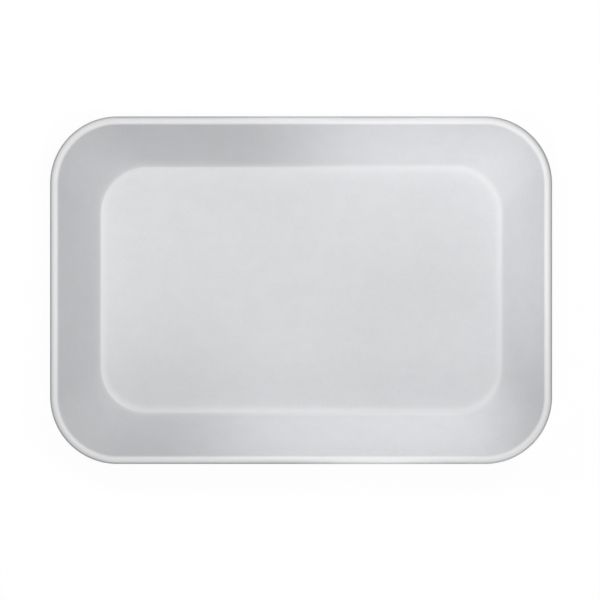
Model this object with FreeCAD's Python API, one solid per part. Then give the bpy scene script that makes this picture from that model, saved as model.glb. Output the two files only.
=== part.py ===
"""Foam meat tray: one sheet of expanded polystyrene, thermoformed into a shallow dish.

Millimetres. +X runs along the tray, +Y across it and +Z up. The origin is the middle of the
underside, on the surface that the tray stands on.

The tray is one wall of even thickness. Its section is a line of vertices, from the flat of the
floor, up the inside, over the rim and down the outside to the flat of the base. Each vertex has
a rounding in the section, and a corner radius in plan, because the corners tighten from the rim
down to the floor. The section goes round a rounded rectangle, so the corners of the wall are
leaning cones and not plain sweeps.
"""

import FreeCAD
import Part
import os
from math import asin, atan, atan2, cos, hypot, radians, sin, sqrt, tan

# Overall, over the rim
tray_length = 210.0
tray_width = 145.4
tray_height = 25.0

# Foam sheet, after forming
sheet_thickness = 3.0

# Corners in plan
rim_corner_radius = 28.1  # outer edge of the rim
floor_corner_radius = 19.5  # crease between the wall and the floor

# Wall: from the rim's outer edge in to where the wall's inner face would meet the floor
floor_inset = 20.75

# Rim: a rolled lip that stands out past the outside of the wall
lip_overhang = 1.65
lip_depth = 3.1
lip_edge_radius = 0.5  # lower outer edge, where the tray is trimmed from the sheet
lip_root_radius = 0.8  # hollow between the lip and the outside of the wall

# Foot of the wall: a tight crease between two gentle curves
crease_radius = 1.2
wall_foot_radius = 24.0  # gentle curve on the wall's side of the crease
floor_edge_radius = 18.0  # gentle curve on the floor's side of the crease
gentle_share = 0.24  # share of the wall's slope that each gentle curve takes

# The poles of a quarter circle about its corner, and their weights
QUARTER = ((1, 0), (1, 1), (0, 1))
QUARTER_WEIGHTS = [1, sqrt(0.5), 1]
CORNERS = 4

# A step along a level flat: inset, height and corner radius, with the corners concentric
LEVEL = FreeCAD.Vector(1, 0, -1)

SHORTEST_STRAIGHT = 1e-4
SEWING_GAP = 1e-5


def wall_slope():
    """Angle of the wall above level.

    The wall's outer face passes under the lip, lip_overhang in from the rim's edge. Its inner
    face is one sheet thickness away, and meets the floor at floor_inset.
    """
    rise = tray_height - lip_depth - sheet_thickness
    run = floor_inset - lip_overhang
    return atan2(rise, run) + asin(sheet_thickness / hypot(rise, run))


def foot(slope, meeting_inset, level, growth):
    """The three vertices at the foot of the wall, from the wall in: inset, height, rounding.

    meeting_inset is where the wall's face would meet the flat, which is at level. growth is
    added to each rounding, so that the underside runs parallel to the inside.
    """
    gentle = gentle_share * slope
    crease_reach = (crease_radius + growth) * tan(slope / 2 - gentle)
    wall_side = crease_reach + (wall_foot_radius + growth) * tan(gentle / 2)
    floor_side = crease_reach + (floor_edge_radius + growth) * tan(gentle / 2)

    crease_rise = floor_side * sin(gentle)
    wall_rise = crease_rise + wall_side * sin(slope - gentle)
    wall_inset = meeting_inset - wall_rise / tan(slope)
    crease_inset = wall_inset + wall_side * cos(slope - gentle)
    flat_inset = crease_inset + floor_side * cos(gentle)
    return [
        (wall_inset, level + wall_rise, wall_foot_radius + growth),
        (crease_inset, level + crease_rise, crease_radius + growth),
        (flat_inset, level, floor_edge_radius + growth),
    ]


def corner_growth(slope, taper):
    """How far the corner radius of the wall's outer face exceeds its inner face's.

    It keeps the wall as thick at a corner, where it leans further, as along a side. taper is
    the radius that a corner loses for each millimetre of inset.
    """
    corner_slope = atan(tan(slope) / (sqrt(2) - (sqrt(2) - 1) * taper))
    across_side = sheet_thickness / sin(slope)
    across_corner = sheet_thickness / sin(corner_slope)
    return (sqrt(2) * across_side - across_corner) / (sqrt(2) - 1)


def with_corners(foot_vertices, wall_corner):
    """One foot's vertices as (inset, height, corner radius), each with its rounding.

    wall_corner gives the corner radius of the wall's face at an inset. From the crease in to
    the flat, the corners are concentric.
    """
    crease_inset = foot_vertices[1][0]
    found = []
    for inset, height, rounding in foot_vertices:
        past_crease = max(0, inset - crease_inset)
        corner = wall_corner(inset - past_crease) - past_crease
        found.append((FreeCAD.Vector(inset, height, corner), rounding))
    return found


def section():
    """The section's vertices and roundings, from the flat of the floor to the flat of the base.

    A vertex is a vector: inset from the rim's outer edge, height, and corner radius in plan.
    """
    slope = wall_slope()
    lip_level = tray_height - lip_depth
    across_wall = sheet_thickness / sin(slope)
    rim_width = lip_overhang - lip_depth / tan(slope) + across_wall
    crown_radius = rim_width / (1 + tan(slope / 2))

    inner_foot = foot(slope, floor_inset, sheet_thickness, 0)
    outer_meeting = floor_inset - sheet_thickness * tan(slope / 2)
    outer_foot = foot(slope, outer_meeting, 0, sheet_thickness)

    crown_corner = rim_corner_radius - rim_width
    taper = (crown_corner - floor_corner_radius) / (inner_foot[1][0] - rim_width)

    def inner_corner(inset):
        return crown_corner - taper * (inset - rim_width)

    def outer_corner(inset):
        return inner_corner(inset + across_wall) + corner_growth(slope, taper)

    rim = [
        (FreeCAD.Vector(rim_width, tray_height, crown_corner), crown_radius),
        (FreeCAD.Vector(0, tray_height, rim_corner_radius), crown_radius),
        (FreeCAD.Vector(0, lip_level, rim_corner_radius), lip_edge_radius),
        (FreeCAD.Vector(lip_overhang, lip_level, outer_corner(lip_overhang)), lip_root_radius),
    ]
    inside = with_corners(inner_foot, inner_corner)
    outside = with_corners(outer_foot, outer_corner)
    return inside[::-1] + rim + outside


def distance(start, end):
    """Distance in the plane of the section, leaving out the change of corner radius."""
    return hypot(end.x - start.x, end.y - start.y)


def turn_at(before, vertex, after):
    """Angle by which the section turns at a vertex."""
    arriving = atan2(vertex.y - before.y, vertex.x - before.x)
    leaving = atan2(after.y - vertex.y, after.x - vertex.x)
    turn = abs(leaving - arriving)
    return min(turn, radians(360) - turn)


def cut_back(reaches, points):
    """How far each rounding reaches from its vertex, where two of them would overlap."""
    shares = [1]
    for start, end, this_reach, next_reach in zip(points, points[1:], reaches, reaches[1:]):
        shares.append(min(1, distance(start, end) / (this_reach + next_reach)))
    shares.append(1)
    return [reach * min(pair) for reach, pair in zip(reaches, zip(shares, shares[1:]))]


def spans(vertices):
    """The section as round and straight spans, each a list of poles and a list of weights."""
    points = [vertex for vertex, _ in vertices]
    befores = [points[0] + LEVEL] + points[:-1]
    afters = points[1:] + [points[-1] + LEVEL]
    turns = [turn_at(*three) for three in zip(befores, points, afters)]
    reaches = [rounding * tan(turn / 2) for (_, rounding), turn in zip(vertices, turns)]
    reaches = cut_back(reaches, points)

    found = []
    for before, point, after, turn, reach in zip(befores, points, afters, turns, reaches):
        start = point + (before - point) * (reach / distance(before, point))
        end = point + (after - point) * (reach / distance(after, point))
        if found and distance(last_end, start) > SHORTEST_STRAIGHT:
            found.append(([last_end, start], [1, 1]))
        found.append(([start, point, end], [1, cos(turn / 2), 1]))
        last_end = end
    return found


def corner_poles(pole, corner):
    """The three poles of one corner's arc in plan, for one pole of the section."""
    inset, height, radius = pole
    quarter = FreeCAD.Rotation(FreeCAD.Vector(0, 0, 1), 90 * corner)
    side = quarter.multVec(FreeCAD.Vector(1, 1, 0))
    centre = FreeCAD.Vector(
        side.x * (tray_length / 2 - inset - radius),
        side.y * (tray_width / 2 - inset - radius),
        height,
    )
    return [centre + quarter.multVec(FreeCAD.Vector(x, y, 0)) * radius for x, y in QUARTER]


def face(rows, row_weights, column_weights):
    """A face on a rational surface of one span each way, from its rows of poles."""
    row_degree = len(rows) - 1
    column_degree = len(rows[0]) - 1
    surface = Part.BSplineSurface()
    surface.buildFromPolesMultsKnots(
        rows,
        [row_degree + 1] * 2,
        [column_degree + 1] * 2,
        [0, 1],
        [0, 1],
        False,
        False,
        row_degree,
        column_degree,
        [[row * column for column in column_weights] for row in row_weights],
    )
    return surface.toShape()


def ring(poles, weights):
    """The eight faces of one span of the section: four corners, and the sides between them."""
    corners = [[corner_poles(pole, corner) for pole in poles] for corner in range(CORNERS)]
    faces = []
    for this_corner, next_corner in zip(corners, corners[1:] + corners[:1]):
        side = [[start[-1], end[0]] for start, end in zip(this_corner, next_corner)]
        faces.append(face(this_corner, weights, QUARTER_WEIGHTS))
        faces.append(face(side, weights, [1, 1]))
    return faces


def flat(pole):
    """The level face inside one loop of the section, for the floor and for the base."""
    corners = [corner_poles(pole, corner) for corner in range(CORNERS)]
    edges = []
    for (start, apex, end), (next_start, _, _) in zip(corners, corners[1:] + corners[:1]):
        centre = start + end - apex
        middle = centre + (apex - centre) * sqrt(0.5)
        edges.append(Part.Arc(start, middle, end).toShape())
        edges.append(Part.LineSegment(end, next_start).toShape())
    return Part.Face(Part.Wire(edges))


def tray():
    """The whole tray, one solid."""
    found = spans(section())
    floor_loop = found[0][0][0]
    base_loop = found[-1][0][-1]
    faces = [flat(floor_loop), flat(base_loop)]
    for poles, weights in found:
        faces.extend(ring(poles, weights))
    shell = Part.makeShell(faces)
    shell.sewShape(SEWING_GAP)
    solid = Part.Solid(shell.Shells[0])
    if solid.Volume < 0:
        solid.reverse()
    return solid


os.makedirs("parts", exist_ok=True)
tray().exportStep("parts/tray.step")
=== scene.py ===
"""Foam meat tray: its looks, light and camera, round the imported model.

Metres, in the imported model's frame. The tray's own mesh here follows the same section as the
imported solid, with enough points for its roundings to shade cleanly.
"""

import itertools
import math

import bmesh
import bpy
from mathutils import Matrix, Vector


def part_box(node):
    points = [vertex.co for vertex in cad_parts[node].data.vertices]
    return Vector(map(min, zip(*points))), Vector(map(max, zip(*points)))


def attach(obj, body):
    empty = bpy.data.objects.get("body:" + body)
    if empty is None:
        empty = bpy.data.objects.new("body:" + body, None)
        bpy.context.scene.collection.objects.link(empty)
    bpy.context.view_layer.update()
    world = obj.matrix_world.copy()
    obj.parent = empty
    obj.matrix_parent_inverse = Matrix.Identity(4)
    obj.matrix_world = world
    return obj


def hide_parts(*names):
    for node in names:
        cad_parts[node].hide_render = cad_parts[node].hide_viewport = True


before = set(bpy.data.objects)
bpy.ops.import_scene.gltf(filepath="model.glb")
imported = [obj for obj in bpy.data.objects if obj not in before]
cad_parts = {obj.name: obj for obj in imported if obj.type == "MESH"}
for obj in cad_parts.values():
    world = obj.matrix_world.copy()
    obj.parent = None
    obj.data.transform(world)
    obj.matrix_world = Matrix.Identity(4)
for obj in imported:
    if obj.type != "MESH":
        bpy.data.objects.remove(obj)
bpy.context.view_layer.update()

MM = 0.001

# ---------------------------------------------------------------- the tray's section

LOW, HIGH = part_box("tray")
LENGTH = HIGH[0] - LOW[0]
WIDTH = HIGH[1] - LOW[1]
HEIGHT = HIGH[2] - LOW[2]

SHEET = 3.0 * MM
RIM_CORNER = 28.1 * MM
FLOOR_CORNER = 19.5 * MM
FLOOR_INSET = 20.75 * MM
LIP_OVERHANG = 1.65 * MM
LIP_DEPTH = 3.1 * MM
LIP_EDGE = 0.5 * MM
LIP_ROOT = 0.8 * MM
CREASE = 1.2 * MM
WALL_FOOT = 24.0 * MM
FLOOR_EDGE = 18.0 * MM
GENTLE_SHARE = 0.24

# ---------------------------------------------------------------- the foam

# Colours are linear, and a pair of numbers is a range's two ends. The skin's tone runs from dull
# to white by three shares: broad mottle, streaks drawn along the tray, and each cell's own tint
POLYSTYRENE_IOR = 1.59
FOAM_WHITE = (0.713, 0.723, 0.741)
FOAM_DULL = (0.670, 0.680, 0.698)
MOTTLE = 7 * MM
STREAK = 2.5 * MM
STREAK_LENGTH = 9
MOTTLE_SHARE = 0.35
STREAK_SHARE = 0.15
CELL_SHARE = 0.5
NOISE_RANGE = (0.3, 0.7)
CELL_RANGE = (0.1, 0.7)
SKIN_ROUGHNESS = (0.29, 0.34)
CELL = 0.5 * MM
CELL_DEPTH = 0.02 * MM
GRAIN = 0.12 * MM
GRAIN_DEPTH = 0.002 * MM

# Places along the section are distances past the rim's crest: inside it they are negative
PAST_CREST = "past_crest"
# The crown's whiter colour is a painted highlight along the rim's crest; its mask also sets the
# crown's roughness
CROWN_PAINTED_HIGHLIGHT = (0.943, 0.944, 0.953)
CROWN_ROUGHNESS = 0.5
CROWN_AND_HIGHLIGHT_INSIDE = (-2.0 * MM, -0.4 * MM)
CROWN_AND_HIGHLIGHT_OUTSIDE = (1.3 * MM, 2.2 * MM)
# A paler band round the fold at the floor's edge is a painted highlight
FOLD_PAINTED_HIGHLIGHT = (0.735, 0.744, 0.76)
FOLD_HIGHLIGHT_INSIDE = (-32.5 * MM, -29.7 * MM)
FOLD_HIGHLIGHT_OUTSIDE = (-29.0 * MM, -27.0 * MM)
# The cut outer edge and the rim's outer flank are painted darker, a painted shade; the same mask
# makes the cut edge rough and bumpy
CUT_PAINTED_SHADE = (0.583, 0.582, 0.608)
CUT_ROUGHNESS = 0.6
CUT_AND_SHADE_STARTS = (1.1 * MM, 2.3 * MM)
CUT_AND_SHADE_ENDS = (4.3 * MM, 4.6 * MM)
CUT_DEPTH = 0.09 * MM

# ---------------------------------------------------------------- the camera

VIEW_WIDTH = 0.2510
VIEW_MIDDLE = (-0.46 * MM, -4.1 * MM)
CAMERA_HEIGHT = 1.0

# ---------------------------------------------------------------- the studio

# What is seen of the floor is a white glow, and a share of its paint that keeps a faint shadow
FLOOR_GLOW = 1.05
FLOOR_PAINT = (0.9, 0.9, 0.9)
SHADOW_SHARE = 0.1
FLOOR_REACH = 3.0
WORLD_LIGHT = 0.05

# Lights are aimed at the tray's middle or at the middle of a wall, this far in from the rim
MIDDLE = Vector((0, 0, 15 * MM))
WALL_MIDDLE = 12 * MM

# Where lights stand: azimuths from +X, and the two elevations of the spots, in degrees
RIGHT, BACK, LEFT, FRONT = 0, 90, 180, 270
LOW_SPOT, HIGH_SPOT = 13, 28

BOX_DISTANCE = 1.0
SPOT_DISTANCE = 0.35
SPOT_CONE = math.radians(16)
SPOT_RADIUS = 0.025
PANEL_HEIGHT = 0.25
PANEL_BACK = 20 * MM
PANEL_SIZE = (0.1, 0.06)
PANEL_SPREAD = math.radians(90)

# ---------------------------------------------------------------- how finely the mesh is made

ARC_STEP = math.radians(6)
WALL_STEPS = 12
FLAT_STEPS = 16
CORNER_STEPS = 32
SIDE_STEP = 6 * MM
LONG_RUN = 6 * MM
SAME_POINT = 0.001 * MM


def wall_slope():
    """Angle of the wall above level."""
    rise = HEIGHT - LIP_DEPTH - SHEET
    run = FLOOR_INSET - LIP_OVERHANG
    return math.atan2(rise, run) + math.asin(SHEET / math.hypot(rise, run))


def foot(slope, meeting_inset, level, growth):
    """The three vertices at the foot of the wall, from the wall in: inset, height, rounding."""
    gentle = GENTLE_SHARE * slope
    crease_reach = (CREASE + growth) * math.tan(slope / 2 - gentle)
    wall_side = crease_reach + (WALL_FOOT + growth) * math.tan(gentle / 2)
    floor_side = crease_reach + (FLOOR_EDGE + growth) * math.tan(gentle / 2)
    crease_rise = floor_side * math.sin(gentle)
    wall_rise = crease_rise + wall_side * math.sin(slope - gentle)
    wall_inset = meeting_inset - wall_rise / math.tan(slope)
    crease_inset = wall_inset + wall_side * math.cos(slope - gentle)
    flat_inset = crease_inset + floor_side * math.cos(gentle)
    return [
        (wall_inset, level + wall_rise, WALL_FOOT + growth),
        (crease_inset, level + crease_rise, CREASE + growth),
        (flat_inset, level, FLOOR_EDGE + growth),
    ]


def with_corners(vertices, wall_corner):
    """One foot's vertices as (inset, height, corner radius), each with its rounding."""
    crease_inset = vertices[1][0]
    found = []
    for inset, height, rounding in vertices:
        past_crease = max(0, inset - crease_inset)
        corner = wall_corner(inset - past_crease) - past_crease
        found.append((Vector((inset, height, corner)), rounding))
    return found


def section_vertices():
    """The section's vertices and roundings, from the flat of the floor to the base's."""
    slope = wall_slope()
    across = SHEET / math.sin(slope)
    rim_width = LIP_OVERHANG - LIP_DEPTH / math.tan(slope) + across
    crown = rim_width / (1 + math.tan(slope / 2))
    inner_foot = foot(slope, FLOOR_INSET, SHEET, 0)
    outer_foot = foot(slope, FLOOR_INSET - SHEET * math.tan(slope / 2), 0, SHEET)
    crown_corner = RIM_CORNER - rim_width
    taper = (crown_corner - FLOOR_CORNER) / (inner_foot[1][0] - rim_width)
    lean = math.atan(math.tan(slope) / (math.sqrt(2) - (math.sqrt(2) - 1) * taper))
    growth = (math.sqrt(2) * across - SHEET / math.sin(lean)) / (math.sqrt(2) - 1)

    def inner_corner(inset):
        return crown_corner - taper * (inset - rim_width)

    def outer_corner(inset):
        return inner_corner(inset + across) + growth

    lip_level = HEIGHT - LIP_DEPTH
    rim = [
        (Vector((rim_width, HEIGHT, crown_corner)), crown),
        (Vector((0, HEIGHT, RIM_CORNER)), crown),
        (Vector((0, lip_level, RIM_CORNER)), LIP_EDGE),
        (Vector((LIP_OVERHANG, lip_level, outer_corner(LIP_OVERHANG))), LIP_ROOT),
    ]
    inside = with_corners(inner_foot, inner_corner)
    return inside[::-1] + rim + with_corners(outer_foot, outer_corner)


def section_points():
    """Points along the section, each (inset, height, corner radius)."""
    vertices = section_vertices()
    level = Vector((MM, 0, -MM))
    points = [vertex for vertex, _ in vertices]
    befores = [points[0] + level] + points[:-1]
    afters = points[1:] + [points[-1] + level]
    found = []
    for before, (point, rounding), after in zip(befores, vertices, afters):
        back = before - point
        on = after - point
        back_length = math.hypot(back.x, back.y)
        on_length = math.hypot(on.x, on.y)
        turn = math.pi - back.to_2d().angle(on.to_2d())
        reach = rounding * math.tan(turn / 2)
        start = point + back * (reach / back_length)
        end = point + on * (reach / on_length)
        gap = math.hypot(*(start - found[-1]).to_2d()) if found else 0
        if gap > LONG_RUN:
            last = found[-1]
            found += [last.lerp(start, i / WALL_STEPS) for i in range(1, WALL_STEPS)]
        steps = max(3, math.ceil(turn / ARC_STEP))
        weight = math.cos(turn / 2)
        for i in range(steps + 1):
            s = i / steps
            a, b, c = (1 - s) ** 2, 2 * s * (1 - s) * weight, s**2
            arc_point = (start * a + point * b + end * c) / (a + b + c)
            if not found or (arc_point - found[-1]).length > SAME_POINT:
                found.append(arc_point)
    return found


def loop(inset, height, corner):
    """One loop round the tray: a rounded rectangle, from the middle of the +X side."""
    half_x = LENGTH / 2 - inset
    half_y = WIDTH / 2 - inset
    rim_x = LENGTH / 2 - RIM_CORNER
    rim_y = WIDTH / 2 - RIM_CORNER
    steps_x = 2 * math.ceil(rim_x / SIDE_STEP)
    steps_y = 2 * math.ceil(rim_y / SIDE_STEP)
    found = []
    for turn, steps, far, side in (
        (0, steps_y, half_x, half_y - corner),
        (1, steps_x, half_y, half_x - corner),
        (2, steps_y, half_x, half_y - corner),
        (3, steps_x, half_y, half_x - corner),
    ):
        quarter = turn * math.pi / 2
        out = Vector((round(math.cos(quarter)), round(math.sin(quarter)), 0))
        along = Vector((-out.y, out.x, 0))
        for i in range(steps):
            found.append(out * far + along * side * (2 * i / steps - 1))
        centre = out * (far - corner) + along * side
        for i in range(CORNER_STEPS):
            angle = math.pi / 2 * i / CORNER_STEPS
            found.append(centre + (out * math.cos(angle) + along * math.sin(angle)) * corner)
    return [p + Vector((0, 0, height)) for p in found]


def closing_loops(edge, height):
    """Loops that carry a flat from its edge in to the line down its middle."""
    reach = (LENGTH - WIDTH) / 2
    found = []
    for i in range(1, FLAT_STEPS + 1):
        share = i / FLAT_STEPS
        found.append([
            p.lerp(Vector((max(-reach, min(reach, p.x)), 0, height)), share) for p in edge
        ])
    return found


def past_crest(points):
    """How far past the rim's crest each point of the section is, going outward."""
    steps = [math.hypot(*(b - a).to_2d()) for a, b in zip(points, points[1:])]
    travelled = list(itertools.accumulate(steps, initial=0))
    heights = [p.y for p in points]
    crest = travelled[heights.index(max(heights))]
    return [t - crest for t in travelled]


def tray_mesh():
    """The whole tray as one closed mesh."""
    points = section_points()
    loops = [loop(*p) for p in points]
    floor_loops = closing_loops(loops[0], points[0].y)[::-1]
    base_loops = closing_loops(loops[-1], points[-1].y)
    places = past_crest(points)
    places = places[:1] * FLAT_STEPS + places + places[-1:] * FLAT_STEPS
    loops = floor_loops + loops + base_loops
    count = len(loops[0])
    vertices = [p for ring in loops for p in ring]
    faces = []
    for j in range(len(loops) - 1):
        for i in range(count):
            k = (i + 1) % count
            faces.append((j * count + i, (j + 1) * count + i, (j + 1) * count + k, j * count + k))
    mesh = bpy.data.meshes.new("foam_tray")
    mesh.from_pydata(vertices, [], faces)
    attribute = mesh.attributes.new(PAST_CREST, "FLOAT", "POINT")
    attribute.data.foreach_set("value", [place for place in places for _ in range(count)])
    return mesh


def tray_piece():
    """The tray's mesh as a piece, with doubled points merged and its faces turned outward."""
    mesh = tray_mesh()
    bm = bmesh.new()
    bm.from_mesh(mesh)
    bmesh.ops.remove_doubles(bm, verts=bm.verts, dist=SAME_POINT)
    bmesh.ops.recalc_face_normals(bm, faces=bm.faces)
    bm.to_mesh(mesh)
    bm.free()
    mesh.shade_smooth()
    piece = bpy.data.objects.new("foam_tray", mesh)
    bpy.context.collection.objects.link(piece)
    return piece


def add(nodes, kind, inputs=None, **settings):
    """A new shader node with its settings, and its inputs' values by name or place."""
    node = nodes.new(kind)
    for name, value in settings.items():
        setattr(node, name, value)
    for name, value in (inputs or {}).items():
        node.inputs[name].default_value = value
    return node


def noise(nodes, links, place, size, stretch=(1, 1, 1), detail=2.0):
    """Noise with features about size across, longer by stretch along each axis."""
    scaled = add(nodes, "ShaderNodeVectorMath", operation="MULTIPLY")
    scaled.inputs[1].default_value = [1 / (size * s) for s in stretch]
    links.new(place, scaled.inputs[0])
    texture = add(nodes, "ShaderNodeTexNoise", {"Scale": 1.0, "Detail": detail})
    links.new(scaled.outputs[0], texture.inputs["Vector"])
    return texture.outputs["Fac"]


def ranged(nodes, links, value, low, high, at_low=0.0, at_high=1.0):
    """A value mapped from one range to another, smoothly and within its ends."""
    node = add(nodes, "ShaderNodeMapRange", interpolation_type="SMOOTHSTEP")
    node.inputs["From Min"].default_value = low
    node.inputs["From Max"].default_value = high
    node.inputs["To Min"].default_value = at_low
    node.inputs["To Max"].default_value = at_high
    links.new(value, node.inputs["Value"])
    return node.outputs["Result"]


def product(nodes, links, one, other):
    """One value times another."""
    node = add(nodes, "ShaderNodeMath", operation="MULTIPLY")
    links.new(one, node.inputs[0])
    links.new(other, node.inputs[1])
    return node.outputs[0]


def bumped(nodes, links, height, depth, under=None):
    """A bump of a given depth from a height, over another bump."""
    node = add(nodes, "ShaderNodeBump", {"Distance": depth, "Strength": 1.0})
    links.new(height, node.inputs["Height"])
    if under:
        links.new(under, node.inputs["Normal"])
    return node.outputs["Normal"]


def between(nodes, links, value, rise, fall):
    """1 between two places, with a smooth rise to it and a smooth fall after it."""
    risen = ranged(nodes, links, value, *rise)
    return product(nodes, links, risen, ranged(nodes, links, value, *fall, 1, 0))


def mixed(nodes, links, kind, share, below, over):
    """One value or colour, passing to a constant one where the share is 1."""
    node = add(nodes, "ShaderNodeMix", {"B": over}, data_type=kind)
    links.new(share, node.inputs["Factor"])
    links.new(below, node.inputs["A"])
    return node.outputs["Result"]


def foam():
    """White polystyrene foam: a satin skin over fine closed cells.

    The rolled crown of the rim is painted whiter, a painted highlight along its crest, and is
    rougher. Its outer edge is cut from the sheet, and there the open cells are rough; it and the
    rim's outer flank are painted darker, a painted shade. A paler band round the fold at the
    floor's edge is a painted highlight.
    """
    material = bpy.data.materials.new("foam")
    material.use_nodes = True
    nodes = material.node_tree.nodes
    links = material.node_tree.links
    shader = nodes["Principled BSDF"]
    shader.inputs["IOR"].default_value = POLYSTYRENE_IOR
    place = add(nodes, "ShaderNodeTexCoord").outputs["Object"]

    mottle = noise(nodes, links, place, MOTTLE, detail=3)
    streak = noise(nodes, links, place, STREAK, stretch=(STREAK_LENGTH, 1, 1))
    grain = noise(nodes, links, place, GRAIN)
    cells = add(nodes, "ShaderNodeTexVoronoi", {"Scale": 1 / CELL}, feature="F1")
    links.new(place, cells.inputs["Vector"])
    cell = cells.outputs["Distance"]
    along = add(nodes, "ShaderNodeAttribute", attribute_name=PAST_CREST).outputs["Fac"]
    crown = between(nodes, links, along, CROWN_AND_HIGHLIGHT_INSIDE, CROWN_AND_HIGHLIGHT_OUTSIDE)
    cut_and_shade = between(nodes, links, along, CUT_AND_SHADE_STARTS, CUT_AND_SHADE_ENDS)
    fold_highlight = between(nodes, links, along, FOLD_HIGHLIGHT_INSIDE, FOLD_HIGHLIGHT_OUTSIDE)

    tint = add(nodes, "ShaderNodeSeparateColor")
    links.new(cells.outputs["Color"], tint.inputs["Color"])
    large = add(nodes, "ShaderNodeMath", operation="ADD")
    links.new(ranged(nodes, links, mottle, *NOISE_RANGE, 0, MOTTLE_SHARE), large.inputs[0])
    links.new(ranged(nodes, links, streak, *NOISE_RANGE, 0, STREAK_SHARE), large.inputs[1])
    tone = add(nodes, "ShaderNodeMath", {1: CELL_SHARE}, operation="MULTIPLY_ADD")
    links.new(tint.outputs["Red"], tone.inputs[0])
    links.new(large.outputs[0], tone.inputs[2])
    skin = add(nodes, "ShaderNodeMix", data_type="RGBA")
    skin.inputs["A"].default_value = (*FOAM_DULL, 1)
    skin.inputs["B"].default_value = (*FOAM_WHITE, 1)
    links.new(tone.outputs[0], skin.inputs["Factor"])
    # Painted highlight: a paler band round the fold at the floor's edge
    colour = mixed(nodes, links, "RGBA", fold_highlight, skin.outputs["Result"], (*FOLD_PAINTED_HIGHLIGHT, 1))
    # Painted highlight: the rim's crown is painted whiter
    colour = mixed(nodes, links, "RGBA", crown, colour, (*CROWN_PAINTED_HIGHLIGHT, 1))
    # Painted shade: the cut edge and the rim's outer flank are painted darker
    colour = mixed(nodes, links, "RGBA", cut_and_shade, colour, (*CUT_PAINTED_SHADE, 1))
    links.new(colour, shader.inputs["Base Color"])

    roughness = ranged(nodes, links, cell, *CELL_RANGE, *SKIN_ROUGHNESS)
    roughness = mixed(nodes, links, "FLOAT", crown, roughness, CROWN_ROUGHNESS)
    roughness = mixed(nodes, links, "FLOAT", cut_and_shade, roughness, CUT_ROUGHNESS)
    links.new(roughness, shader.inputs["Roughness"])

    surface = bumped(nodes, links, cell, CELL_DEPTH)
    surface = bumped(nodes, links, grain, GRAIN_DEPTH, under=surface)
    surface = bumped(nodes, links, product(nodes, links, cell, cut_and_shade), CUT_DEPTH, under=surface)
    links.new(surface, shader.inputs["Normal"])
    return material


def make_tray():
    """The tray in foam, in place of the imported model's."""
    tray = tray_piece()
    tray.data.materials.append(foam())
    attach(tray, "root")
    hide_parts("tray")


def make_camera():
    """A camera straight above, with no perspective."""
    data = bpy.data.cameras.new("camera")
    data.type = "ORTHO"
    data.ortho_scale = VIEW_WIDTH
    camera = bpy.data.objects.new("camera", data)
    camera.location = (*VIEW_MIDDLE, CAMERA_HEIGHT)
    bpy.context.collection.objects.link(camera)
    bpy.context.scene.camera = camera
    bpy.context.scene.view_settings.view_transform = "Standard"


def seen(nodes, links):
    """1 for a ray from the camera, off gloss or through glass, and 0 for a ray of plain light."""
    path = add(nodes, "ShaderNodeLightPath")
    gloss = add(nodes, "ShaderNodeMath", operation="MAXIMUM")
    links.new(path.outputs["Is Glossy Ray"], gloss.inputs[0])
    links.new(path.outputs["Is Transmission Ray"], gloss.inputs[1])
    either = add(nodes, "ShaderNodeMath", operation="MAXIMUM")
    links.new(path.outputs["Is Camera Ray"], either.inputs[0])
    links.new(gloss.outputs[0], either.inputs[1])
    return either.outputs[0]


def make_floor():
    """A white floor, seen as white light, that keeps a faint share of the tray's shadow."""
    mesh = bpy.data.meshes.new("floor")
    s = FLOOR_REACH
    mesh.from_pydata([(-s, -s, 0), (s, -s, 0), (s, s, 0), (-s, s, 0)], [], [(0, 1, 2, 3)])
    floor = bpy.data.objects.new("floor", mesh)
    bpy.context.collection.objects.link(floor)
    material = bpy.data.materials.new("floor")
    material.use_nodes = True
    nodes = material.node_tree.nodes
    links = material.node_tree.links
    nodes.clear()
    out = add(nodes, "ShaderNodeOutputMaterial")
    mix = add(nodes, "ShaderNodeMixShader")
    paint = add(nodes, "ShaderNodeBsdfDiffuse", {"Color": (*FLOOR_PAINT, 1)})
    white = add(nodes, "ShaderNodeEmission", {"Strength": FLOOR_GLOW})
    share = add(nodes, "ShaderNodeMath", {1: 1 - SHADOW_SHARE}, operation="MULTIPLY")
    links.new(seen(nodes, links), share.inputs[0])
    links.new(share.outputs[0], mix.inputs["Fac"])
    links.new(paint.outputs[0], mix.inputs[1])
    links.new(white.outputs[0], mix.inputs[2])
    links.new(mix.outputs[0], out.inputs["Surface"])
    # What is seen of the floor lights nothing, so no samples go to it as a lamp
    material.cycles.emission_sampling = "NONE"
    mesh.materials.append(material)


def make_world():
    """A white surround that is seen, and a dimmer one that lights."""
    world = bpy.data.worlds.new("studio")
    bpy.context.scene.world = world
    world.use_nodes = True
    nodes = world.node_tree.nodes
    links = world.node_tree.links
    lights = nodes["Background"]
    lights.inputs["Color"].default_value = (1, 1, 1, 1)
    lights.inputs["Strength"].default_value = WORLD_LIGHT
    white = add(nodes, "ShaderNodeBackground", {"Color": (1, 1, 1, 1), "Strength": 1.0})
    mix = add(nodes, "ShaderNodeMixShader")
    links.new(seen(nodes, links), mix.inputs["Fac"])
    links.new(lights.outputs[0], mix.inputs[1])
    links.new(white.outputs[0], mix.inputs[2])
    links.new(mix.outputs[0], nodes["World Output"].inputs["Surface"])


def stand_light(light, stand, aim):
    """Put a light at stand, facing aim, unseen itself."""
    light.location = stand
    light.rotation_euler = (Vector(stand) - Vector(aim)).to_track_quat("Z", "Y").to_euler()
    light.visible_camera = False
    bpy.context.collection.objects.link(light)


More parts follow.
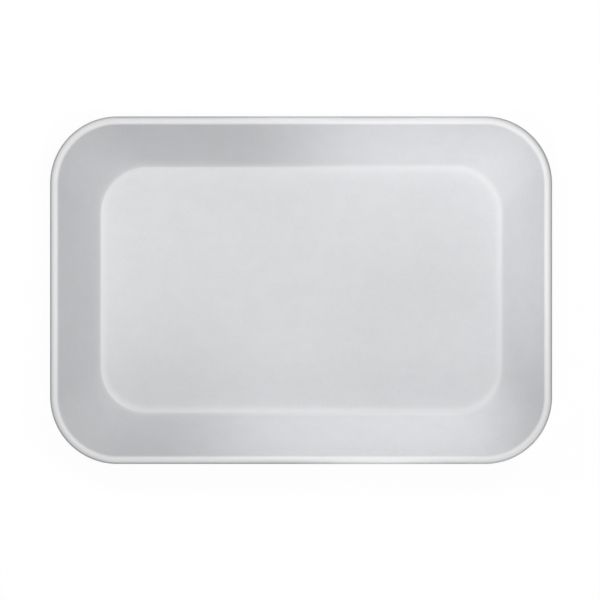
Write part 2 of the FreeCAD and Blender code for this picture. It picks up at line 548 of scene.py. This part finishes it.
def softbox(name, stand, aim, size, level, spread=math.pi):
    """An area light at stand that faces aim, and gives white that level where it faces back."""
    data = bpy.data.lights.new(name, "AREA")
    data.shape = "RECTANGLE"
    data.size, data.size_y = size
    data.spread = spread
    distance = (Vector(stand) - Vector(aim)).length
    narrowing = 1 - spread / 2 / math.tan(spread / 2)
    data.energy = level * (math.pi * distance) ** 2 * narrowing
    stand_light(bpy.data.objects.new(name, data), stand, aim)


def towards(elevation, azimuth):
    """The direction at an elevation, and an azimuth from +X, both in degrees."""
    e, a = math.radians(elevation), math.radians(azimuth)
    return Vector((math.cos(e) * math.cos(a), math.cos(e) * math.sin(a), math.sin(e)))


def box(name, elevation, azimuth, width, level):
    """A square soft box well away from the tray, aimed at its middle."""
    stand = MIDDLE + towards(elevation, azimuth) * BOX_DISTANCE
    softbox(name, stand, MIDDLE, (width, width), level)


def spot(name, wall, elevation, azimuth, level):
    """A soft-edged spot on part of a wall, from over the opposite side, with no highlight."""
    aim = Vector((*wall, MIDDLE.z))
    data = bpy.data.lights.new(name, "SPOT")
    data.spot_size = SPOT_CONE
    data.spot_blend = 1
    data.shadow_soft_size = SPOT_RADIUS
    data.energy = level * (2 * math.pi * SPOT_DISTANCE) ** 2
    light = bpy.data.objects.new(name, data)
    light.visible_glossy = False
    stand_light(light, aim + towards(elevation, azimuth) * SPOT_DISTANCE, aim)


def panel(name, x, level):
    """A panel close over the tray, facing straight down."""
    stand = Vector((x, PANEL_BACK, PANEL_HEIGHT))
    softbox(name, stand, (x, PANEL_BACK, 0), PANEL_SIZE, level, PANEL_SPREAD)


def make_lights():
    """Soft boxes all round, and spots for the parts of the walls that are brighter."""
    # Boxes: elevation and azimuth in degrees, width, and level
    box("right_top", 68, RIGHT, 0.16, 0.06)
    box("right", 58, RIGHT, 0.22, 0.06)
    box("back_right", 58, 45, 0.22, 0.16)
    box("back_left_wide", 45, 135, 0.35, 0.21)
    box("front_top", 68, FRONT, 0.16, 0.06)
    box("front_wide", 45, FRONT, 0.35, 0.07)
    box("front_low", 28, FRONT, 0.17, 0.095)

    # Panels: how far right of the middle, and level
    panel("left_panel", -70 * MM, 0.16)
    panel("middle_panel", 0, 0.12)

    # Spots: the place on the wall, elevation and azimuth, and level
    back_wall = WIDTH / 2 - WALL_MIDDLE
    right_wall = LENGTH / 2 - WALL_MIDDLE
    spot("front_spot", (33 * MM, back_wall), LOW_SPOT, FRONT, 0.35)
    spot("front_right_spot", (90 * MM, back_wall), LOW_SPOT, FRONT, 0.15)
    spot("front_right_high_spot", (90 * MM, back_wall), HIGH_SPOT, FRONT, 0.14)
    spot("back_spot", (0, -back_wall), LOW_SPOT, BACK, 0.16)
    spot("back_high_spot", (0, -back_wall), HIGH_SPOT, BACK, 0.16)
    spot("back_right_spot", (60 * MM, -back_wall), LOW_SPOT, BACK, 0.21)
    spot("back_right_high_spot", (60 * MM, -back_wall), HIGH_SPOT, BACK, 0.18)
    spot("left_spot", (right_wall, 0), HIGH_SPOT, LEFT, 0.17)
    spot("left_back_spot", (right_wall, 50 * MM), HIGH_SPOT, LEFT, 0.19)


make_tray()
make_camera()
make_floor()
make_world()
make_lights()
